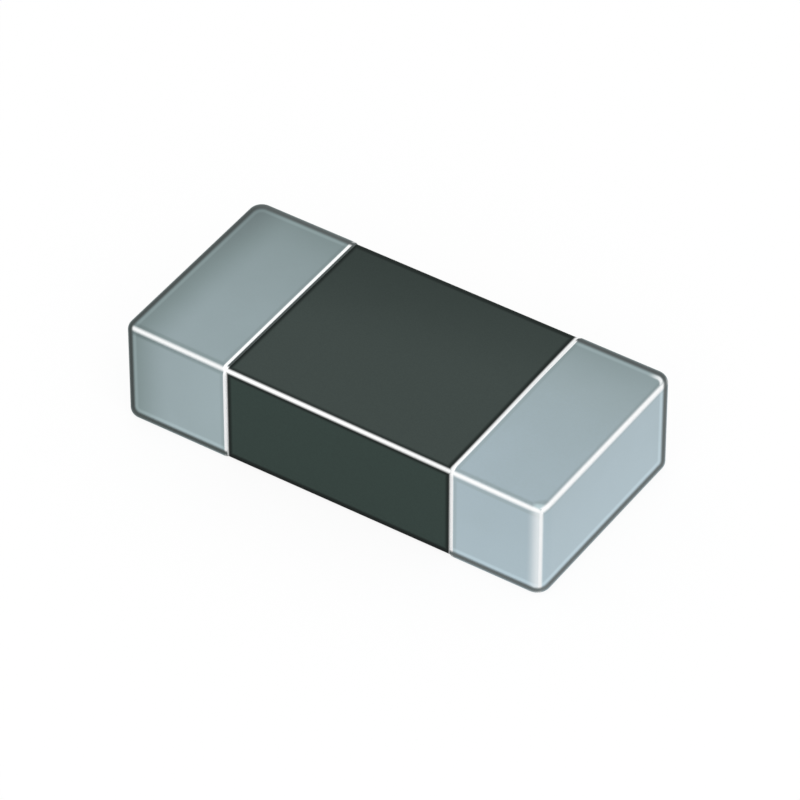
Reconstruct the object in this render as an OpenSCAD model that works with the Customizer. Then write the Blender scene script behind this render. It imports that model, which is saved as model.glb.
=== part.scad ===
// Multilayer ferrite chip inductor, case size 1206, in millimetres.
// The length runs along X, the width along Y, and the chip stands on the undersides of its two end caps at Z = 0.
// The origin is under the middle of the chip.

/* [Ferrite body] */
// Length of the fired ferrite body, without the end caps
body_l = 3.12; // [2.80:0.01:3.60]
// Width of the ferrite body
body_w = 1.52; // [1.20:0.01:1.90]
// Height of the ferrite body
body_h = 0.74; // [0.60:0.01:1.20]
// Radius of the four upright edges, tumbled round before firing
corner_r = 0.075; // [0.06:0.005:0.12]
// Radius of the long and cross edges
edge_r = 0.03; // [0.02:0.005:0.055]

/* [End caps] */
// Reach of the left cap along the chip, over all its coats
left_band = 0.80; // [0.30:0.01:0.95]
// Reach of the right cap along the chip, over all its coats
right_band = 0.70; // [0.30:0.01:0.95]
// Silver base coat on the four sides of the body
silver_side_t = 0.007; // [0.007:0.001:0.020]
// Silver base coat on the end face, where the dip leaves it thicker
silver_end_t = 0.034; // [0.020:0.002:0.060]
// Extra rounding of the silver over the edges, where the paste draws thin
edge_draw = 0.012; // [0.000:0.001:0.016]
// Extra rounding of the band's front edge beyond the silver's thickness
rim_draw = 0.012; // [0.001:0.001:0.015]
// Nickel barrier plated on the silver
nickel_t = 0.002; // [0.002:0.001:0.008]
// Tin plated on the nickel
tin_t = 0.004; // [0.003:0.001:0.012]

/* [Winding] */
// Number of printed patterns, each three quarters of a turn
prints = 10; // [3:1:12]
// Width of the printed silver track
track_w = 0.18; // [0.10:0.01:0.24]
// Thickness of the printed track
track_t = 0.018; // [0.008:0.002:0.024]
// Ferrite left between one print and the next
sheet_gap = 0.027; // [0.012:0.001:0.030]
// Ferrite left between the turns and each long side
side_margin = 0.17; // [0.13:0.01:0.25]
// Ferrite left between the turns and each end face
end_margin = 0.36; // [0.20:0.01:0.50]
// Diameter of the round land at each end of a pattern
land_d = 0.26; // [0.20:0.01:0.30]
// Diameter of the via that joins two lands
via_d = 0.12; // [0.06:0.01:0.18]
// Width of the strip that leads the winding out to a cap
lead_w = 0.30; // [0.20:0.01:0.40]

/* [Hidden] */
$fn = 96;

// Coats over the body's sides and over its end face, each out to that metal's own surface
SIDE_T = [silver_side_t, silver_side_t + nickel_t, silver_side_t + nickel_t + tin_t];
END_T = [silver_end_t, silver_end_t + nickel_t, silver_end_t + nickel_t + tin_t];
SILVER_COAT = 0;
NICKEL_COAT = 1;
TIN_COAT = 2;

// Middle height of the chip, whose body the tin lifts off the board
mid_z = SIDE_T[TIN_COAT] + body_h / 2;

// Corners of a turn's centre line, counted anticlockwise from the left front one
turn_x = body_l / 2 - end_margin - track_w / 2;
turn_y = body_w / 2 - side_margin - track_w / 2;
CORNERS = [[-turn_x, -turn_y], [turn_x, -turn_y], [turn_x, turn_y], [-turn_x, turn_y]];

// Height of each print, with the whole stack in the middle of the body
pitch_z = track_t + sheet_gap;
stack_h = (prints - 1) * pitch_z + track_t;
function print_z(i) = mid_z - stack_h / 2 + i * pitch_z;

// A pattern starts on the corner where the one below it ends, which is one corner back each time
function start_corner(i) = (4 * prints - i) % 4;

// Sides that a pattern runs along: three, but the last one stops at the last right-hand corner that it meets
RIGHT_STOP = [2, 1, 3, 3];
function sides(i) = i < prints - 1 ? 3 : RIGHT_STOP[start_corner(i)];
function end_corner(i) = (start_corner(i) + sides(i)) % 4;

PRINTS = [for (i = [0 : prints - 1]) str("winding_print_", i + 1)];
VIAS = [for (i = [0 : prints - 2]) str("via_", i + 1)];
LEFT_CAP = ["left_silver_base", "left_nickel_barrier", "left_tin_plating"];
RIGHT_CAP = ["right_silver_base", "right_nickel_barrier", "right_tin_plating"];

FERRITE = [0.24, 0.28, 0.27];
SILVER = [0.82, 0.82, 0.80];
NICKEL = [0.62, 0.61, 0.57];
TIN = [0.63, 0.70, 0.72];
COAT_COLOURS = [SILVER, NICKEL, TIN];

// A quarter of a disc with its centre at the origin
module quarter_disc(r) {
    intersection() {
        circle(r = r);
        square(r);
    }
}

// Half of an outline, flat at x = 0: its upper far corner is rounded, and its lower one too where both is true
module half_outline(depth, height, r, both) {
    low = both ? r : 0;
    square([depth - r, height]);
    translate([depth - r, low]) square([r, height - r - low]);
    translate([depth - r, height - r]) quarter_disc(r);
    if (both)
        translate([depth - r, r]) mirror([0, 1]) quarter_disc(r);
}

// The rounded end of a slab, from its cross plane at x = 0 outwards along X
module slab_end(width, height, corner, r, both) {
    rotate([90, 0, 0])
        linear_extrude(width - 2 * corner, center = true)
            half_outline(corner, height, r, both);
    for (side = [0, 1])
        mirror([0, side, 0]) translate([0, width / 2 - corner, 0])
            rotate_extrude(angle = 90) half_outline(corner, height, r, both);
}

// A slab that stands on z = 0, with rounded upright corners, and its upper rim or both its rims rounded
module rounded_slab(length, width, height, corner, r, both) {
    for (side = [0, 1])
        mirror([0, side, 0])
            rotate([90, 0, 90])
                linear_extrude(length - 2 * corner, center = true)
                    half_outline(width / 2, height, r, both);
    for (end = [0, 1])
        mirror([end, 0, 0]) translate([length / 2 - corner, 0, 0])
            slab_end(width, height, corner, r, both);
}

// The body's full form, with no winding in it
module body_form() {
    translate([0, 0, mid_z - body_h / 2])
        rounded_slab(body_l, body_w, body_h, corner_r, edge_r, true);
}

// Everything of the right cap that lies inside the surface of one coat, the body included. All three coats round
// their rims from the same centre line, placed so that the tin comes down to the body at the end of its reach.
module cap_form(coat, band) {
    side_t = SIDE_T[coat];
    width = body_w + 2 * side_t;
    height = body_h + 2 * side_t;
    edge = edge_r + side_t + edge_draw;
    corner = corner_r + side_t + edge_draw;
    rim = side_t + rim_draw;
    join_x = body_l / 2 + END_T[coat] - corner;
    tin_rim_x = sqrt(pow(SIDE_T[TIN_COAT] + rim_draw, 2) - pow(rim_draw, 2));
    front_x = body_l / 2 + END_T[TIN_COAT] - band + tin_rim_x - rim;
    translate([join_x, 0, mid_z - height / 2]) slab_end(width, height, corner, edge, true);
    translate([join_x, 0, mid_z]) rotate([0, -90, 0])
        rounded_slab(height, width, join_x - front_x, edge, rim, false);
}

// One coat of the right cap: its own form less the coat or the body that it lies on
module coat(coat, band) {
    color(COAT_COLOURS[coat]) difference() {
        cap_form(coat, band);
        if (coat > SILVER_COAT)
            cap_form(coat - 1, band);
        body_form();
    }
}

// One straight side of a turn, between two neighbouring corners
module track(from, to) {
    along = [abs(to.x - from.x), abs(to.y - from.y)];
    across = along.x > 0 ? [0, track_w] : [track_w, 0];
    lower = [min(from.x, to.x), min(from.y, to.y)];
    translate(lower - across / 2) square(along + across);
}

// The round outside of a turn's bend
module bend(corner) {
    at = CORNERS[corner];
    translate(at)
        mirror([at.x < 0 ? 1 : 0, 0]) mirror([0, at.y < 0 ? 1 : 0])
            quarter_disc(track_w / 2);
}

// The strip from a land to the end face beside it, level with the turns' outer side
module lead(corner) {
    at = CORNERS[corner];
    mirror([at.x < 0 ? 1 : 0, 0]) mirror([0, at.y < 0 ? 1 : 0])
        translate([turn_x, turn_y + track_w / 2 - lead_w])
            square([body_l / 2 - turn_x, lead_w]);
}

// One printed pattern, counted from the bottom, with its two lands and any lead
module winding_print(i) {
    first = start_corner(i);
    color(SILVER) translate([0, 0, print_z(i)]) linear_extrude(track_t) {
        for (side = [0 : sides(i) - 1])
            track(CORNERS[(first + side) % 4], CORNERS[(first + side + 1) % 4]);
        for (turn = [1 : sides(i) - 1])
            bend((first + turn) % 4);
        for (corner = [first, end_corner(i)])
            translate(CORNERS[corner]) circle(d = land_d);
        if (i == 0)
            lead(first);
        if (i == prints - 1)
            lead(end_corner(i));
    }
}

// The via through one sheet, from the end of one print to the start of the next
module via(i) {
    color(SILVER)
        translate(concat(CORNERS[end_corner(i)], print_z(i) + track_t))
            cylinder(d = via_d, h = sheet_gap);
}

// The whole winding, all its prints and vias joined
module winding() {
    for (i = [0 : prints - 1])
        winding_print(i);
    for (i = [0 : prints - 2])
        via(i);
}

// The fired body, whose inside fits the winding exactly and opens at each lead
module ferrite_body() {
    color(FERRITE) difference() {
        body_form();
        winding();
    }
}

ferrite_body();
for (i = [0 : prints - 1])
    winding_print(i);
for (i = [0 : prints - 2])
    via(i);
for (i = [SILVER_COAT : TIN_COAT])
    mirror([1, 0, 0]) coat(i, left_band);
for (i = [SILVER_COAT : TIN_COAT])
    coat(i, right_band);
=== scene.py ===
import math

import bmesh
import bpy
from mathutils import Matrix, Vector


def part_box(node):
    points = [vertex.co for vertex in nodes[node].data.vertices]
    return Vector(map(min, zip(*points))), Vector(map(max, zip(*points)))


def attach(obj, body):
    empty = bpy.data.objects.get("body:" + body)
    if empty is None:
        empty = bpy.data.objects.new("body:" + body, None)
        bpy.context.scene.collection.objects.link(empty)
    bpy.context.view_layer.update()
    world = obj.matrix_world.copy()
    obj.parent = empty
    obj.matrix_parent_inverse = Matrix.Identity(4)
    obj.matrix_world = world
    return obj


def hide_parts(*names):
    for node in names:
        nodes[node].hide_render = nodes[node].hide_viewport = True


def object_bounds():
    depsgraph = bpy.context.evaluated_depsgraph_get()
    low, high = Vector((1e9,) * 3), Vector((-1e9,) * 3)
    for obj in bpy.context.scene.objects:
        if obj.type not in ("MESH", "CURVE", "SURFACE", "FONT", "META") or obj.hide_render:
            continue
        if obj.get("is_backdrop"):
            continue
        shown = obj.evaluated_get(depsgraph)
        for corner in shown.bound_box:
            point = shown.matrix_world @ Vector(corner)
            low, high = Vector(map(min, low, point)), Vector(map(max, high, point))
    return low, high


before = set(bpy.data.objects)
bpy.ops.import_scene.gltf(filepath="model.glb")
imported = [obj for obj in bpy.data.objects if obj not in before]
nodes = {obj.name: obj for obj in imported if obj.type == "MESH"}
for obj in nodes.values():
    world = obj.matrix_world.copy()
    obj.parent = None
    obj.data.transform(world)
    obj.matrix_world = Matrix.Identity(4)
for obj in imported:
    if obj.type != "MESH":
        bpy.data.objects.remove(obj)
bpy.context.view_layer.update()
print("frame loaded:", len(nodes), "nodes")

mm = 0.001  # pieces are shaped in millimetres and made metres at the end

# The chip's outside in millimetres, as the solids give it
chipLow, chipHigh = (Vector(corner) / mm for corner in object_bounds())
bodyLow, bodyHigh = (Vector(corner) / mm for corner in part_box("ferrite_body"))
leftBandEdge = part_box("left_tin_plating")[1][0] / mm
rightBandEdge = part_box("right_tin_plating")[0][0] / mm


# Camera, as far off and as high as a fit to the picture's corners says
camera = {
    "azimuth": 33.36,  # degrees round from the long front face towards the narrower cap
    "elevation": 41.24,
    "distance": 42.75,  # mm
    "lens": 300.07,
    "aimRight": 0.0207,  # mm from the chip's middle to the middle of the frame
    "aimDown": 0.0353,
    "clip": (0.1, 100),  # nearest and farthest thing seen, in distances
}


def placeCamera(setup):
    turn, rise = math.radians(setup["azimuth"]), math.radians(setup["elevation"])
    back = Vector((math.sin(turn) * math.cos(rise), -math.cos(turn) * math.cos(rise), math.sin(rise)))
    right = Vector((math.cos(turn), math.sin(turn), 0))
    up = back.cross(right)
    aim = (chipLow + chipHigh) / 2 + right * setup["aimRight"] - up * setup["aimDown"]
    lens = bpy.data.cameras.new("pictureCamera")
    lens.lens = setup["lens"]
    lens.clip_start, lens.clip_end = (setup["distance"] * share * mm for share in setup["clip"])
    eye = bpy.data.objects.new("pictureCamera", lens)
    bpy.context.scene.collection.objects.link(eye)
    place = Matrix((right, up, back)).transposed().to_4x4()
    place.translation = (aim + back * setup["distance"]) * mm
    eye.matrix_world = place
    bpy.context.scene.camera = eye


placeCamera(camera)
print("camera placed")


# Small helpers for modelling by hand
modelling = {
    "closeEnough": 1e-4,  # mm, between places that count as one
    "smoothAngle": 35,  # degrees, below which a fold is shaded smooth
}


def startBlock(name, low, high):
    bpy.ops.object.select_all(action="DESELECT")
    middle = [(a + b) / 2 for a, b in zip(low, high)]
    size = [b - a for a, b in zip(low, high)]
    bpy.ops.mesh.primitive_cube_add(size=1, location=middle, scale=size)
    piece = bpy.context.object
    piece.name = name
    bpy.ops.object.transform_apply(location=True, rotation=True, scale=True)
    return piece


def pickEdges(wanted):
    mesh = bpy.context.object.data
    shape = bmesh.from_edit_mesh(mesh)
    bpy.ops.mesh.select_mode(type="EDGE")
    bpy.ops.mesh.select_all(action="DESELECT")
    for edge in shape.edges:
        edge.select_set(wanted(edge.verts[0].co, edge.verts[1].co))
    bmesh.update_edit_mesh(mesh)


def pickFaces(wanted):
    mesh = bpy.context.object.data
    shape = bmesh.from_edit_mesh(mesh)
    bpy.ops.mesh.select_mode(type="FACE")
    bpy.ops.mesh.select_all(action="DESELECT")
    for face in shape.faces:
        face.select_set(wanted(face.calc_center_median()))
    bmesh.update_edit_mesh(mesh)


def near(a, b):
    return abs(a - b) < modelling["closeEnough"]


def applyModifiers(piece):
    for name in [modifier.name for modifier in piece.modifiers]:
        bpy.ops.object.modifier_apply(modifier=name)


def finishPiece(piece, material):
    bpy.ops.object.shade_smooth_by_angle(angle=math.radians(modelling["smoothAngle"]))
    weighted = piece.modifiers.new("flatFaces", "WEIGHTED_NORMAL")
    weighted.keep_sharp = True
    applyModifiers(piece)
    piece.scale = (mm, mm, mm)
    bpy.ops.object.transform_apply(location=True, rotation=True, scale=True)
    dress(piece, material)


def dress(piece, material):
    piece.data.materials.clear()
    piece.data.materials.append(material)


# Material nodes in short
def newMaterial(name):
    material = bpy.data.materials.new(name)
    material.use_nodes = True
    tree = material.node_tree
    return material, tree, tree.nodes["Principled BSDF"]


def addNode(tree, kind, links=(), **settings):
    node = tree.nodes.new(kind)
    for key, value in settings.items():
        setattr(node, key, value)
    for socket, source in dict(links).items():
        if isinstance(source, bpy.types.NodeSocket):
            tree.links.new(source, node.inputs[socket])
        else:
            node.inputs[socket].default_value = source
    return node


def calc(tree, operation, a, b=0.0, c=0.0):
    return addNode(tree, "ShaderNodeMath", {0: a, 1: b, 2: c}, operation=operation).outputs[0]


def minus(tree, a, b):
    return calc(tree, "SUBTRACT", a, b)


def without(tree, share):
    return calc(tree, "SUBTRACT", 1.0, share)


def scaled(tree, value, factor, start):
    return calc(tree, "MULTIPLY_ADD", value, factor, start)


def chain(tree, operation, values):
    total = values[0]
    for value in values[1:]:
        total = calc(tree, operation, total, value)
    return total


def product(tree, *factors):
    return chain(tree, "MULTIPLY", factors)


def least(tree, *values):
    return chain(tree, "MINIMUM", values)


def most(tree, *values):
    return chain(tree, "MAXIMUM", values)


def blend(tree, amount, a, b):
    return addNode(tree, "ShaderNodeMix", {0: amount, 2: a, 3: b}).outputs[0]


def ramp(tree, value, start, end, low=0.0, high=1.0, kind="SMOOTHSTEP"):
    links = {"Value": value, "From Min": start, "From Max": end, "To Min": low, "To Max": high}
    return addNode(tree, "ShaderNodeMapRange", links, interpolation_type=kind).outputs[0]


def strip(tree, gap, rise, fall):
    return product(tree, ramp(tree, gap, *rise), ramp(tree, gap, *fall))


def mixColour(tree, amount, a, b, kind="MIX"):
    node = addNode(tree, "ShaderNodeMix", data_type="RGBA", blend_type=kind)
    for socket, source in ((0, amount), (6, a), (7, b)):  # a Mix node's share and its two colours
        if isinstance(source, bpy.types.NodeSocket):
            tree.links.new(source, node.inputs[socket])
        elif isinstance(source, float):
            node.inputs[socket].default_value = source
        else:
            node.inputs[socket].default_value = (*source, 1)
    return node.outputs[2]


def shade(tree, colour, tone):
    grey = addNode(tree, "ShaderNodeCombineColor", {0: tone, 1: tone, 2: tone}).outputs[0]
    return mixColour(tree, 1.0, colour, grey, "MULTIPLY")


def millimetres(tree):
    place = addNode(tree, "ShaderNodeTexCoord")
    scale = addNode(tree, "ShaderNodeMapping", {"Vector": place.outputs["Object"], "Scale": (1 / mm,) * 3})
    return scale.outputs[0], place.outputs["Normal"]


def noise(tree, place, scale, detail=2.0, roughness=0.5):
    links = {"Vector": place, "Scale": scale, "Detail": detail, "Roughness": roughness}
    return addNode(tree, "ShaderNodeTexNoise", links).outputs["Fac"]


def roughen(tree, shader, grain, strength, depth):
    bump = addNode(tree, "ShaderNodeBump", {"Height": grain, "Strength": strength, "Distance": depth * mm})
    tree.links.new(bump.outputs[0], shader.inputs["Normal"])


# Painted lines along a block's edges: painted highlights that meet at the near top corner, and painted
# outline shade round the far sides
edgeLook = {
    "front": (-0.019, 0.033),  # mm down the front from the edge to its painted highlight, at the left and the right
    "end": 0.016,  # mm down the end face from the edge to its painted highlight
    "upright": -0.009,  # mm round the corner towards the end face
    "lineDepth": 0.032,  # mm under both of its faces, where a painted highlight ends
    "lineEnd": 6.0,  # how fast it ends there
    "uprightFacing": (0.75, 0.45),  # how far up or down a level face points at least, an upright one at most
    "topChange": 0.025,  # mm to each side of a top edge's middle, over which top changes to side
    "topDepth": (0.2, 0.1),  # mm below the top, where nothing counts as top and where all may
    "farFade": (0.001, 0.007),  # mm under a far face, where painted shade lines start and where they are full
    "nearFade": 0.012,  # mm over which they end where a near face's rounding does
}
farEdges = (  # three in order round the block, and the other three lie opposite in the same order
    # direction outwards across the edge, whether it stands upright, and the radius in mm of the turn after it
    ((-0.847, 0.0, 0.531), False, 0.115),
    ((0.0, 0.724, 0.690), False, 0.085),
    ((0.835, 0.550, 0.0), True, 0.080),
)


def edgeGap(tree, a, b, shift):
    # how far a place lies from a painted highlight line, by its depths under the two faces that meet in the
    # edge
    across = calc(tree, "ABSOLUTE", minus(tree, minus(tree, a, b), shift))
    inside = most(tree, minus(tree, least(tree, a, b), edgeLook["lineDepth"]), 0.0)
    return scaled(tree, inside, edgeLook["lineEnd"], across)


def roundedGap(tree, a, b, radius, cosine=0.0):
    # how far inwards a place lies from two planes that meet in a rounded corner, at an angle with this cosine
    shallow, deep = least(tree, a, b), most(tree, a, b)
    inner = most(tree, minus(tree, radius, shallow), 0.0)
    outer = most(tree, scaled(tree, inner, -cosine, minus(tree, radius, deep)), 0.0)
    outer = product(tree, outer, 1 / math.sqrt(1 - cosine ** 2))
    reach = addNode(tree, "ShaderNodeCombineXYZ", {0: inner, 1: outer})
    reach = addNode(tree, "ShaderNodeVectorMath", {0: reach.outputs[0]}, operation="LENGTH")
    return minus(tree, most(tree, shallow, radius), reach.outputs["Value"])


def farDepth(tree, place, low, high, radii):
    # how far inwards a place lies from planes that touch the block along its far edges
    edges = [(Vector(direction), upright, turn) for direction, upright, turn in farEdges]
    edges += [(-direction, upright, turn) for direction, upright, turn in edges]
    gaps = []
    for direction, upright, turn in edges:
        corner = Vector([top if way > 0 else bottom for way, bottom, top in zip(direction, low, high)])
        reach = corner.dot(direction) - radii[upright] * (sum(abs(way) for way in direction) - 1)
        along = addNode(tree, "ShaderNodeVectorMath", {0: place, 1: direction}, operation="DOT_PRODUCT")
        gaps.append(minus(tree, reach, along.outputs["Value"]))
    corners = []
    for index, (direction, upright, turn) in enumerate(edges):
        after = (index + 1) % len(edges)
        corners.append(roundedGap(tree, gaps[index], gaps[after], turn, direction.dot(edges[after][0])))
    return least(tree, *corners)


def edgeLines(tree, place, normal, low, high, radii):
    levelRadius, uprightRadius = radii
    where = addNode(tree, "ShaderNodeSeparateXYZ", {0: place}).outputs
    facing = addNode(tree, "ShaderNodeSeparateXYZ", {0: normal}).outputs
    # depths under the left end, the back and the underside, and under the right end, the front and the top
    toFar = [minus(tree, where[0], low.x), minus(tree, high.y, where[1]), minus(tree, where[2], low.z)]
    toNear = [minus(tree, size, gap) for size, gap in zip(high - low, toFar)]
    # what belongs to the top, by whether it or the nearest wall lies closer
    wall = roundedGap(tree, *(least(tree, a, b) for a, b in zip(toNear[:2], toFar[:2])), uprightRadius)
    change = edgeLook["topChange"]
    onTop = product(tree, ramp(tree, minus(tree, wall, toNear[2]), -change, change),
                    ramp(tree, toNear[2], *edgeLook["topDepth"]))
    # painted shade lines show on the rounding of the near faces only, down to where the far faces are flat
    underNear = least(tree, product(tree, toNear[2], uprightRadius / levelRadius), least(tree, *toNear[:2]))
    shown = product(tree, ramp(tree, least(tree, *toFar), *edgeLook["farFade"]),
                    ramp(tree, underNear, uprightRadius, uprightRadius - edgeLook["nearFade"]))
    frontShift = ramp(tree, where[0], chipLow.x, chipHigh.x, *edgeLook["front"], "LINEAR")
    return {
        "where": where,
        "facing": facing,
        "upright": ramp(tree, calc(tree, "ABSOLUTE", facing[2]), *edgeLook["uprightFacing"]),
        "onTop": onTop,
        "toFar": toFar,
        "toNear": toNear,
        "depth": farDepth(tree, place, low, high, radii),  # inwards across the painted shade lines
        "shown": shown,
        "frontTop": edgeGap(tree, toNear[2], toNear[1], frontShift),  # from the middle of each painted highlight line
        "endTop": edgeGap(tree, toNear[2], toNear[0], edgeLook["end"]),
        "nearUpright": edgeGap(tree, toNear[1], toNear[0], edgeLook["upright"]),
    }


def rimShift(tree, lines, onSides, topFront, topBack):
    # mm by which a line is set off from a coat's rim: on the sides, and on the top from the front to the back
    top = ramp(tree, lines["where"][1], chipLow.y, chipHigh.y, topFront, topBack)
    return blend(tree, lines["onTop"], onSides, top)


# Matt tin, with painted highlights along its near edges and along the rim where the coat ends, and painted
# shade towards the far sides
tinFinish = {
    # a pair is a distance in mm, or a share, where something starts and where it is full
    "radii": (0.055, 0.100),  # of the rounding on the level edges and on the upright ones
    "tones": ((0.0, (0.0, 0.0, 0.0)), (0.6, (0.240, 0.306, 0.311)),
              (0.85, (0.348, 0.430, 0.453)), (1.0, (0.412, 0.508, 0.556))),
    "roughness": (0.38, 0.48),
    "gloss": 0.15,
    "cloud": {"scale": 1.8, "detail": 3.0},
    "cloudReach": (0.25, 0.75, 0.975, 1.02),  # noise at its lowest and highest, and the tones that they give
    "grain": {"scale": 70.0, "detail": 3.0, "roughness": 0.6},
    "grainReach": (0.3, 0.7, 0.975, 1.02),
    "roughReach": (0.25, 0.75),
    "grainStrength": 0.35,
    "grainDepth": 0.0006,  # mm
    # painted highlights along the near edges, the near upright edge and the rims, dimmer to the left
    "paintedHighlight": {
        "colour": (0.975, 0.985, 0.988),
        "leftColour": (0.87, 0.885, 0.885),
        "change": (-0.4, 1.0),  # mm along the chip from the left colour to the other
        "rimChange": 0.9,  # and how far a rim always goes that way
        "level": (0.035, 0.003),  # from the middle of a line outwards
        "endWider": 0.004,
        "upright": (0.032, 0.006),
        "uprightStart": (0.036, 0.052),  # below the top
        "uprightShare": 0.92,
        "band": ((-0.02, 0.0), (0.125, 0.02)),  # soft painted highlight band on the front beside the upright edge
        "bandStart": (0.035, 0.06),
        "bandDepth": (0.06, 0.035),  # under the front
        "bandShare": 0.66,
        "stops": ((0.045, 0.062), (0.04, 0.06), (0.012, 0.025)),  # at the left, back and underside
        "turnDepth": 0.044,  # the end's painted highlight turns back along the inner side of the painted outline shade behind it
        "turnWidth": (0.020, 0.004),
        "turnFromEnd": (0.14, 0.04),
        "turnFromBack": (0.22, 0.14),
        "turnShare": 0.8,
    },
    # painted highlight along each coat's rim, and painted shadow at the left rim's foot
    "rim": {
        "run": 0.0219,  # mm along the chip from the coat's end to where its rim starts to round down
        "slope": (0.17, 0.38),  # how far the rim faces along the chip
        "slopeOnTop": 0.15,  # added to that on the top
        "edge": (0.005, -0.004),  # from where the rounding starts
        "leftShift": (-0.010, 0.010, 0.010),  # on the sides, and on the top at the front and at the back
        "rightShift": (0.010, 0.008, -0.008),
        "footSlope": (0.30, 0.52),  # where the left rim's foot gets painted shadow on the top
        "footFromFront": (0.025, 0.055),
    },
    "dullAndShade": {  # painted shade strips beside the painted highlights and near the near top corner, each with how much it takes
        "front": ((0.020, 0.032), (0.066, 0.046)),
        "frontShare": (-0.8, 0.8, 0.16, 0.11),  # from the left to the right
        "end": ((0.020, 0.032), (0.058, 0.040)),
        "endShare": 0.05,
        "rim": ((0.0, 0.008), (0.034, 0.018)),
        "rimShare": 0.10,
        "corner": (0.15, 0.08),
        "cornerBelow": (0.06, 0.04),
        "cornerShare": 0.22,
    },
    # painted shade and painted light in the bare metal's tone
    "tone": {
        "backFall": -1.8,  # how fast the painted shade at the back fades out forwards, in each mm
        "backShare": (0.0, 1.0, 0.33, 0.03),  # how much it takes on the top and on the sides
        "rightBackFall": -5.0,  # and once more on the right cap's top
        "rightBackReach": (1.5, 1.1),
        "rightBackShare": 0.07,
        # painted shade: darker at the left end and towards the left
        "leftEnd": (0.0, 0.38, 0.66, 1.0),
        "leftToRight": (-0.9, 1.0, 0.83, 1.0),
        "light": ((0.034, 0.043), (0.062, 0.048)),  # painted highlight strip along the inner side of the painted outline shade
        "lightLift": 0.22,
        "leftSide": ((-1.3, -0.85), (0.0, -0.2)),  # painted light on the left cap's sides towards its rim
        "leftSideLift": 0.05,
        # painted light on faces turned towards the right end, and low down
        "endFacing": (0.3, 0.9),
        "endLift": 0.05,
        "low": (0.7, 0.1),
        "lowLift": 0.04,
    },
    # painted outline shade along the far edges, also used for the painted shadow at the left rim's foot
    "outlineShade": {
        "line": ((-0.005, 0.015), (0.040, 0.022)),  # across a painted outline shade line, from its outer side inwards
        "leftColour": (0.066, 0.079, 0.077),
        "rightColour": (0.112, 0.128, 0.128),
        "change": (-1.2, 1.4),  # mm along the chip from the left colour to the right one
        "backChange": (0.16, 0.0, 0.0, 0.9),  # and how far it goes that way at the back
        "foot": (0.12, 0.0, 1.0, 1.5),  # fainter low down
        "end": (0.3, 0.9, 1.0, 1.32),  # and round the end face
        "rightTop": -0.2,  # and stronger on the right cap's top
        "matt": 0.9,  # how much of the metal's shine it takes
        "rougher": 0.35,
    },
}


def tinRims(tree, look, lines):
    # the painted highlights on the rims, the distance from where they start, and the painted shadow at the
    # left one's foot
    where, onTop = lines["where"], lines["onTop"]
    right = calc(tree, "GREATER_THAN", where[0], 0.0)
    inward = product(tree, lines["facing"][0], calc(tree, "SIGN", where[0]), -1.0)
    fromRight = minus(tree, minus(tree, where[0], rightBandEdge + look["run"]),
                      rimShift(tree, lines, *look["rightShift"]))
    fromLeft = minus(tree, minus(tree, leftBandEdge - look["run"], where[0]),
                     rimShift(tree, lines, *look["leftShift"]))
    fromRim = blend(tree, right, fromLeft, fromRight)
    rim = most(tree, ramp(tree, scaled(tree, onTop, look["slopeOnTop"], inward), *look["slope"]),
               ramp(tree, fromRim, *look["edge"]))
    foot = product(tree, onTop, ramp(tree, inward, *look["footSlope"]), without(tree, right),
                   ramp(tree, lines["frontTop"], *look["footFromFront"]))
    return right, fromRim, rim, foot


# painted highlights along the near edges, the near upright edge and the rims
def tinPaintedHighlights(tree, look, lines, rim, foot):
    toNear, toFar = lines["toNear"], lines["toFar"]
    level = least(tree, lines["frontTop"], minus(tree, lines["endTop"], look["endWider"]))
    band = product(tree, strip(tree, minus(tree, toNear[0], toNear[1]), *look["band"]),
                   ramp(tree, toNear[2], *look["bandStart"]), ramp(tree, toNear[1], *look["bandDepth"]),
                   look["bandShare"])
    upright = product(tree, ramp(tree, lines["nearUpright"], *look["upright"]),
                      ramp(tree, toNear[2], *look["uprightStart"]))
    upright = product(tree, most(tree, upright, band), look["uprightShare"])
    paintedHighlight = most(tree, ramp(tree, level, *look["level"]), upright)
    paintedHighlight = product(tree, paintedHighlight, *(ramp(tree, gap, *stop) for gap, stop in zip(toFar, look["stops"])))
    fromTurn = calc(tree, "ABSOLUTE", minus(tree, lines["depth"], look["turnDepth"]))
    turn = product(tree, ramp(tree, fromTurn, *look["turnWidth"]),
                   ramp(tree, toNear[0], *look["turnFromEnd"]),
                   ramp(tree, toFar[1], *look["turnFromBack"]), lines["onTop"], look["turnShare"])
    return product(tree, most(tree, paintedHighlight, rim, turn), without(tree, foot))


# painted shade strips beside the painted highlights, and near the near top corner
def tinShadeStrips(tree, look, lines, fromRim):
    toNear = lines["toNear"]
    front = product(tree, strip(tree, lines["frontTop"], *look["front"]),
                    ramp(tree, lines["where"][0], *look["frontShare"]))
    end = product(tree, strip(tree, lines["endTop"], *look["end"]), look["endShare"])
    rim = product(tree, strip(tree, fromRim, *look["rim"]), look["rimShare"])
    corner = product(tree, ramp(tree, calc(tree, "ADD", toNear[0], toNear[1]), *look["corner"]),
                     ramp(tree, toNear[2], *look["cornerBelow"]), look["cornerShare"])
    return most(tree, front, end, rim, corner)


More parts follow.
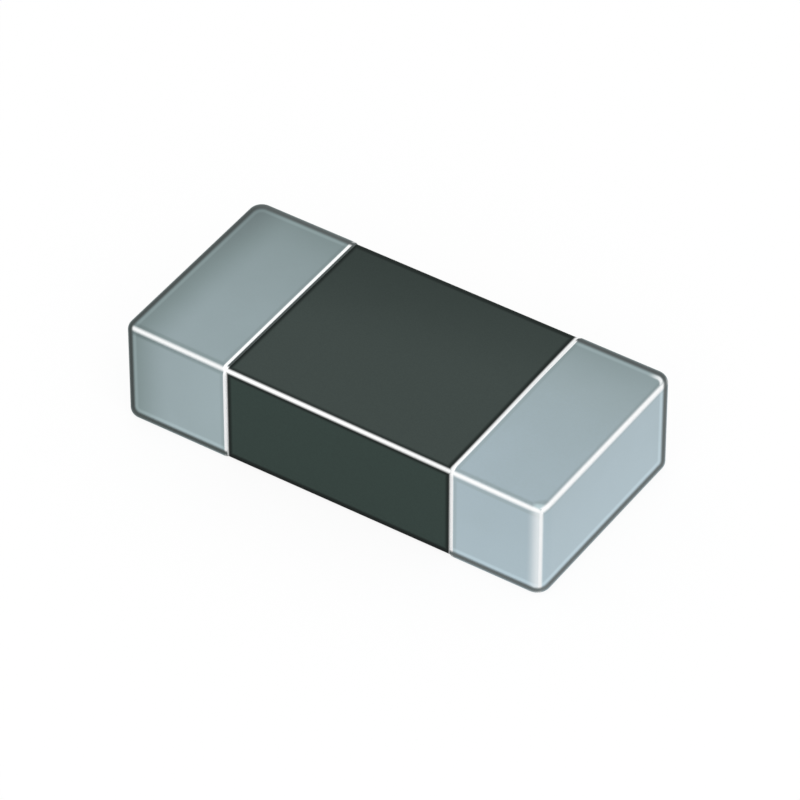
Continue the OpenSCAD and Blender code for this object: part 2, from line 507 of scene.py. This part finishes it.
def tinMetal(tree, finish, place, lines, right, fromRim, grain):
    # bare metal: its tone by painted shade by place, by cloud and grain, and then its colour by that tone,
    # lifted in places by painted light
    look, where, toFar = finish["tone"], lines["where"], lines["toFar"]
    back = product(tree, calc(tree, "EXPONENT", product(tree, toFar[1], look["backFall"])),
                   ramp(tree, lines["upright"], *look["backShare"]))
    rightBack = product(tree, calc(tree, "EXPONENT", product(tree, toFar[1], look["rightBackFall"])),
                        lines["onTop"], right, ramp(tree, where[0], *look["rightBackReach"]),
                        look["rightBackShare"])
    tone = product(tree, without(tree, back), without(tree, rightBack),
                   ramp(tree, toFar[0], *look["leftEnd"]), ramp(tree, where[0], *look["leftToRight"]),
                   ramp(tree, noise(tree, place, **finish["cloud"]), *finish["cloudReach"]),
                   ramp(tree, grain, *finish["grainReach"]),
                   without(tree, tinShadeStrips(tree, finish["dullAndShade"], lines, fromRim)))
    metal = addNode(tree, "ShaderNodeValToRGB", {0: tone})
    stops = metal.color_ramp.elements
    for position, colour in finish["tones"][1:-1]:
        stops.new(position)
    for stop, (position, colour) in zip(stops, finish["tones"]):
        stop.position = position
        stop.color = (*colour, 1)
    # painted highlight strip inside the painted outline shade, and painted light on the left cap's sides, on
    # the end faces and low down
    light = product(tree, strip(tree, lines["depth"], *look["light"]), lines["shown"])
    leftSide = product(tree, lines["upright"], strip(tree, where[0], *look["leftSide"]))
    lift = scaled(tree, light, look["lightLift"], 1.0)
    lift = scaled(tree, leftSide, look["leftSideLift"], lift)
    lift = scaled(tree, ramp(tree, lines["facing"][0], *look["endFacing"]), look["endLift"], lift)
    lift = scaled(tree, ramp(tree, where[2], *look["low"]), look["lowLift"], lift)
    return shade(tree, metal.outputs[0], lift)


# colour of the painted outline shade and of the painted shadow at the left rim's foot
def tinOutlineShadeColour(tree, look, lines, right):
    where = lines["where"]
    change = most(tree, ramp(tree, where[0], *look["change"]),
                  ramp(tree, lines["toFar"][1], *look["backChange"]))
    faint = product(tree, ramp(tree, where[2], *look["foot"]),
                    ramp(tree, lines["facing"][0], *look["end"]),
                    scaled(tree, product(tree, lines["onTop"], right), look["rightTop"], 1.0))
    return shade(tree, mixColour(tree, change, look["leftColour"], look["rightColour"]), faint)


def makeTin(finish):
    material, tree, shader = newMaterial("mattTin")
    highlightLook, outlineShade = finish["paintedHighlight"], finish["outlineShade"]
    place, normal = millimetres(tree)
    lines = edgeLines(tree, place, normal, chipLow, chipHigh, finish["radii"])
    grain = noise(tree, place, **finish["grain"])
    right, fromRim, rim, foot = tinRims(tree, finish["rim"], lines)
    # painted highlights, in a colour that is dimmer to the left
    paintedHighlight = tinPaintedHighlights(tree, highlightLook, lines, rim, foot)
    # painted outline shade along the far edges, and painted shadow at the left rim's foot
    dark = most(tree, product(tree, strip(tree, lines["depth"], *outlineShade["line"]), lines["shown"]), foot)
    change = most(tree, ramp(tree, lines["where"][0], *highlightLook["change"]),
                  product(tree, rim, highlightLook["rimChange"]))
    highlightTint = mixColour(tree, change, highlightLook["leftColour"], highlightLook["colour"])
    metal = tinMetal(tree, finish, place, lines, right, fromRim, grain)
    colour = mixColour(tree, paintedHighlight, metal, highlightTint)
    colour = mixColour(tree, dark, colour, tinOutlineShadeColour(tree, outlineShade, lines, right))
    tree.links.new(colour, shader.inputs["Base Color"])
    shine = product(tree, without(tree, paintedHighlight), scaled(tree, dark, -outlineShade["matt"], 1.0))
    tree.links.new(shine, shader.inputs["Metallic"])
    rough = ramp(tree, grain, *finish["roughReach"], *finish["roughness"])
    tree.links.new(scaled(tree, dark, outlineShade["rougher"], rough), shader.inputs["Roughness"])
    shader.inputs["Specular IOR Level"].default_value = finish["gloss"]
    roughen(tree, shader, grain, finish["grainStrength"], finish["grainDepth"])
    return material


tin = makeTin(tinFinish)
for name in ("left_tin_plating", "right_tin_plating"):
    dress(nodes[name], tin)


# Fired ferrite, with a painted highlight along its near top edge, and painted shade beside every edge and rim
ferriteFinish = {
    "radii": (0.030, 0.075),
    "farShadeColour": (0.028, 0.040, 0.036),  # of the top, darker at the far left by painted shade, and at the near right
    "colour": (0.043, 0.058, 0.053),
    "change": (-0.1, 1.1),
    "changeAlong": 0.22,  # how much of that change comes with each mm along the chip
    "changeFrom": 0.14,  # mm off the back
    "changeCloud": 0.3,
    # painted shade: the sides darker than the top
    "sideShadeColour": (0.036, 0.056, 0.049),
    # colour of the painted outline shade, the painted shade strip and the painted rim shadow
    "darkColour": (0.011, 0.017, 0.015),
    # colour of the painted highlights
    "highlightColour": (0.975, 0.985, 0.982),
    "paintedHighlight": (0.030, 0.005),  # from the middle of the painted highlight outwards
    "line": ((-0.006, 0.008), (0.034, 0.016)),  # across a painted outline shade line, from its outer side inwards
    "border": (0.058, 0.034),  # the painted shade strip beside the painted highlight, from its middle
    "borderShare": (0.0, 1.0, 0.75, 1.0),  # on the top and on the sides
    "rimBorder": (0.040, 0.014),  # the painted shadow strip beside each rim
    "rimHighlight": (0.008, -0.010),  # painted highlight on the ferrite at each rim, carrying the rim's painted highlight on
    "rimHighlightShare": 0.9,
    "leftShift": (0.008, -0.008, -0.008),  # on the sides, and on the top at the front and at the back
    "rightShift": (0.004, 0.002, 0.019),
    "foot": (0.01, 0.06, 0.35, 1.0),  # painted shade low down: mm over the underside, and how dark it starts there
    "cloud": {"scale": 1.6, "detail": 3.0},
    "grain": {"scale": 90.0, "detail": 3.0, "roughness": 0.6},
    "grainReach": (0.3, 0.7, 0.93, 1.06),
    "roughness": (0.25, 0.75, 0.55, 0.68),
    "gloss": 0.08,
    "grainStrength": 0.4,
    "grainDepth": 0.0008,  # mm
}


def makeFerrite(finish):
    material, tree, shader = newMaterial("firedFerrite")
    place, normal = millimetres(tree)
    lines = edgeLines(tree, place, normal, bodyLow, bodyHigh, finish["radii"])
    where, toFar, frontTop = lines["where"], lines["toFar"], lines["frontTop"]
    leftGap = minus(tree, minus(tree, where[0], leftBandEdge), rimShift(tree, lines, *finish["leftShift"]))
    rightGap = minus(tree, minus(tree, rightBandEdge, where[0]), rimShift(tree, lines, *finish["rightShift"]))
    rimGap = least(tree, leftGap, rightGap)
    # painted outline shade, painted shade beside the painted highlight, and painted shadow beside each rim
    dark = most(tree, product(tree, strip(tree, lines["depth"], *finish["line"]), lines["shown"]),
                product(tree, ramp(tree, frontTop, *finish["border"]),
                        ramp(tree, lines["upright"], *finish["borderShare"])),
                ramp(tree, rimGap, *finish["rimBorder"]))
    # painted shade over the top, darker towards the far left and the back, broken up by cloud, and the sides
    # painted darker
    cloud = minus(tree, noise(tree, place, **finish["cloud"]), 0.5)  # as much below zero as above
    along = scaled(tree, toFar[0], finish["changeAlong"], minus(tree, toFar[1], finish["changeFrom"]))
    along = scaled(tree, cloud, finish["changeCloud"], along)
    body = mixColour(tree, ramp(tree, along, *finish["change"]), finish["farShadeColour"], finish["colour"])
    body = mixColour(tree, lines["upright"], body, finish["sideShadeColour"])
    grain = noise(tree, place, **finish["grain"])
    body = shade(tree, body, ramp(tree, grain, *finish["grainReach"]))
    body = mixColour(tree, dark, body, finish["darkColour"])
    # painted shade low down
    body = shade(tree, body, ramp(tree, toFar[2], *finish["foot"]))
    # painted highlight along the near top edge and at each rim
    paintedHighlight = most(tree, ramp(tree, frontTop, *finish["paintedHighlight"]),
                product(tree, ramp(tree, rimGap, *finish["rimHighlight"]), finish["rimHighlightShare"]))
    tree.links.new(mixColour(tree, paintedHighlight, body, finish["highlightColour"]), shader.inputs["Base Color"])
    tree.links.new(ramp(tree, grain, *finish["roughness"]), shader.inputs["Roughness"])
    shader.inputs["Specular IOR Level"].default_value = finish["gloss"]
    roughen(tree, shader, grain, finish["grainStrength"], finish["grainDepth"])
    return material


dress(nodes["ferrite_body"], makeFerrite(ferriteFinish))


# The metals that the tin and the ferrite hide, each with a lighter and a darker colour
hiddenMetals = {
    "winding": {"parts": ("winding_print", "via"), "colour": (0.80, 0.78, 0.72), "dullAndShade": (0.62, 0.59, 0.53),
                "roughness": (0.39, 0.51)},
    "silverBase": {"parts": ("silver_base",), "colour": (0.72, 0.70, 0.66), "dullAndShade": (0.55, 0.53, 0.50),
                   "roughness": (0.49, 0.61)},
    "nickel": {"parts": ("nickel_barrier",), "colour": (0.52, 0.49, 0.43), "dullAndShade": (0.42, 0.40, 0.36),
               "roughness": (0.26, 0.38)},
}
hiddenGrain = {"scale": 60.0, "detail": 3.0, "roughness": 0.6}
hiddenReach = (0.3, 0.7)  # noise at its lowest and at its highest


def makeHiddenMetal(name, finish):
    material, tree, shader = newMaterial(name)
    grain = noise(tree, millimetres(tree)[0], **hiddenGrain)
    tree.links.new(mixColour(tree, ramp(tree, grain, *hiddenReach), finish["dullAndShade"], finish["colour"]),
                   shader.inputs["Base Color"])
    tree.links.new(ramp(tree, grain, *hiddenReach, *finish["roughness"]), shader.inputs["Roughness"])
    shader.inputs["Metallic"].default_value = 1
    return material


for metalName, metal in hiddenMetals.items():
    hidden = makeHiddenMetal(metalName, metal)
    for name, node in nodes.items():
        if any(part in name for part in metal["parts"]):
            dress(node, hidden)
print("materials made")


# End caps: the tin coat, a thin shell that is closed at the end and rounds down to the ferrite at its rim
tinCap = {
    "cornerRadius": 0.100,  # mm, upright edges
    "edgeRadius": 0.055,
    "rimRadius": 0.025,
    "wall": 0.004,
    "coatOverBody": 0.013,  # mm from the ferrite out to the tin's surface
    "cornerSteps": 16,
    "edgeSteps": 12,
    "rimSteps": 15,
    "merge": 1e-5,  # mm
}


def makeCap(name, node, side, endX, bandX, cap):
    # the rim rounds from its full radius behind the front plane, and meets the body before a quarter turn
    drop = cap["rimRadius"] - cap["coatOverBody"]
    rimX = bandX + side * math.sqrt(cap["rimRadius"] ** 2 - drop ** 2)
    frontX = rimX - side * cap["rimRadius"]
    low = (min(endX, frontX), chipLow.y, chipLow.z)
    high = (max(endX, frontX), chipHigh.y, chipHigh.z)
    piece = startBlock(name, low, high)
    bpy.ops.object.mode_set(mode="EDIT")
    pickEdges(lambda a, b: near(a.x, endX) and near(b.x, endX) and not near(a.z, b.z))
    bpy.ops.mesh.bevel(offset=cap["cornerRadius"], segments=cap["cornerSteps"], affect="EDGES")
    pickEdges(lambda a, b: near(a.z, b.z) and (near(a.z, chipLow.z) or near(a.z, chipHigh.z))
              and not (near(a.x, frontX) and near(b.x, frontX)))
    bpy.ops.mesh.bevel(offset=cap["edgeRadius"], segments=cap["edgeSteps"], affect="EDGES")
    pickEdges(lambda a, b: near(a.x, frontX) and near(b.x, frontX))
    bpy.ops.mesh.bevel(offset=cap["rimRadius"], segments=cap["rimSteps"], affect="EDGES")
    pickFaces(lambda centre: side * (centre.x - bandX) < 0)  # all that lies past the band's end
    bpy.ops.mesh.delete(type="FACE")
    bpy.ops.mesh.select_all(action="SELECT")
    bpy.ops.mesh.remove_doubles(threshold=cap["merge"])
    bpy.ops.mesh.normals_make_consistent(inside=False)
    bpy.ops.object.mode_set(mode="OBJECT")
    wall = piece.modifiers.new("wall", "SOLIDIFY")
    wall.thickness = cap["wall"]
    wall.offset = -1
    wall.use_even_offset = True
    finishPiece(piece, tin)
    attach(piece, "root")
    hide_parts(node)


makeCap("leftEndCap", "left_tin_plating", -1, chipLow.x, leftBandEdge, tinCap)
makeCap("rightEndCap", "right_tin_plating", 1, chipHigh.x, rightBandEdge, tinCap)
print("end caps made")


# Floor that reads white, and keeps the chip's shadow
floor = {
    "size": 600,  # mm
    "drop": 0.002,  # mm, below the chip
    "seenColour": 0.98,
    "bounceColour": 0.5,  # what it throws back at the chip
    "share": 0.90,  # how much of its white is its own
    "roughness": 0.9,
}


def makeFloor(setup):
    bpy.ops.object.select_all(action="DESELECT")
    bpy.ops.mesh.primitive_plane_add(size=setup["size"] * mm)
    plane = bpy.context.object
    plane.name = "whiteFloor"
    plane.location.z = -setup["drop"] * mm
    material, tree, shader = newMaterial("whiteFloor")
    shader.inputs["Roughness"].default_value = setup["roughness"]
    shader.inputs["Specular IOR Level"].default_value = 0.0
    path = addNode(tree, "ShaderNodeLightPath").outputs
    seen = most(tree, path["Is Camera Ray"], path["Is Glossy Ray"], path["Is Transmission Ray"])
    tree.links.new(mixColour(tree, seen, (setup["bounceColour"],) * 3, (setup["seenColour"],) * 3),
                   shader.inputs["Base Color"])
    glow = addNode(tree, "ShaderNodeEmission", {"Color": (1, 1, 1, 1), "Strength": 1.0})
    links = {0: product(tree, seen, setup["share"]), 1: shader.outputs[0], 2: glow.outputs[0]}
    mixed = addNode(tree, "ShaderNodeMixShader", links)
    tree.links.new(mixed.outputs[0], tree.nodes["Material Output"].inputs["Surface"])
    dress(plane, material)
    plane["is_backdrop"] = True


makeFloor(floor)

# Light: a pale sky, brightest over the far left, and a soft lamp over the near corner
sky = {
    "level": 0.62,
    "glow": 0.33,  # added where it is brightest
    "glowDirection": (-0.4127, 0.6233, 0.6642),
    "glowReach": (0.2, 0.95),  # cosine of the angle off that direction, where it starts and where it is full
}
lamp = {"direction": (0.45, -0.65, 0.6), "distance": 100, "size": 150, "power": 0.072}  # mm, mm and watts


def makeSky(setup):
    world = bpy.data.worlds.new("paleSky")
    world.use_nodes = True
    tree = world.node_tree
    direction = addNode(tree, "ShaderNodeTexCoord").outputs["Generated"]
    links = {0: direction, 1: setup["glowDirection"]}
    towards = addNode(tree, "ShaderNodeVectorMath", links, operation="DOT_PRODUCT").outputs["Value"]
    level = ramp(tree, towards, *setup["glowReach"], setup["level"], setup["level"] + setup["glow"])
    tree.links.new(level, tree.nodes["Background"].inputs["Strength"])
    tree.nodes["Background"].inputs["Color"].default_value = (1, 1, 1, 1)
    bpy.context.scene.world = world


def makeLamp(setup):
    data = bpy.data.lights.new("nearLamp", "AREA")
    data.shape = "DISK"
    data.size = setup["size"] * mm
    data.energy = setup["power"]
    holder = bpy.data.objects.new("nearLamp", data)
    bpy.context.scene.collection.objects.link(holder)
    direction = Vector(setup["direction"]).normalized()
    holder.location = direction * setup["distance"] * mm
    holder.rotation_euler = direction.to_track_quat("Z", "Y").to_euler()


makeSky(sky)
makeLamp(lamp)
bpy.context.scene.view_settings.view_transform = "Standard"
print("floor and light made")
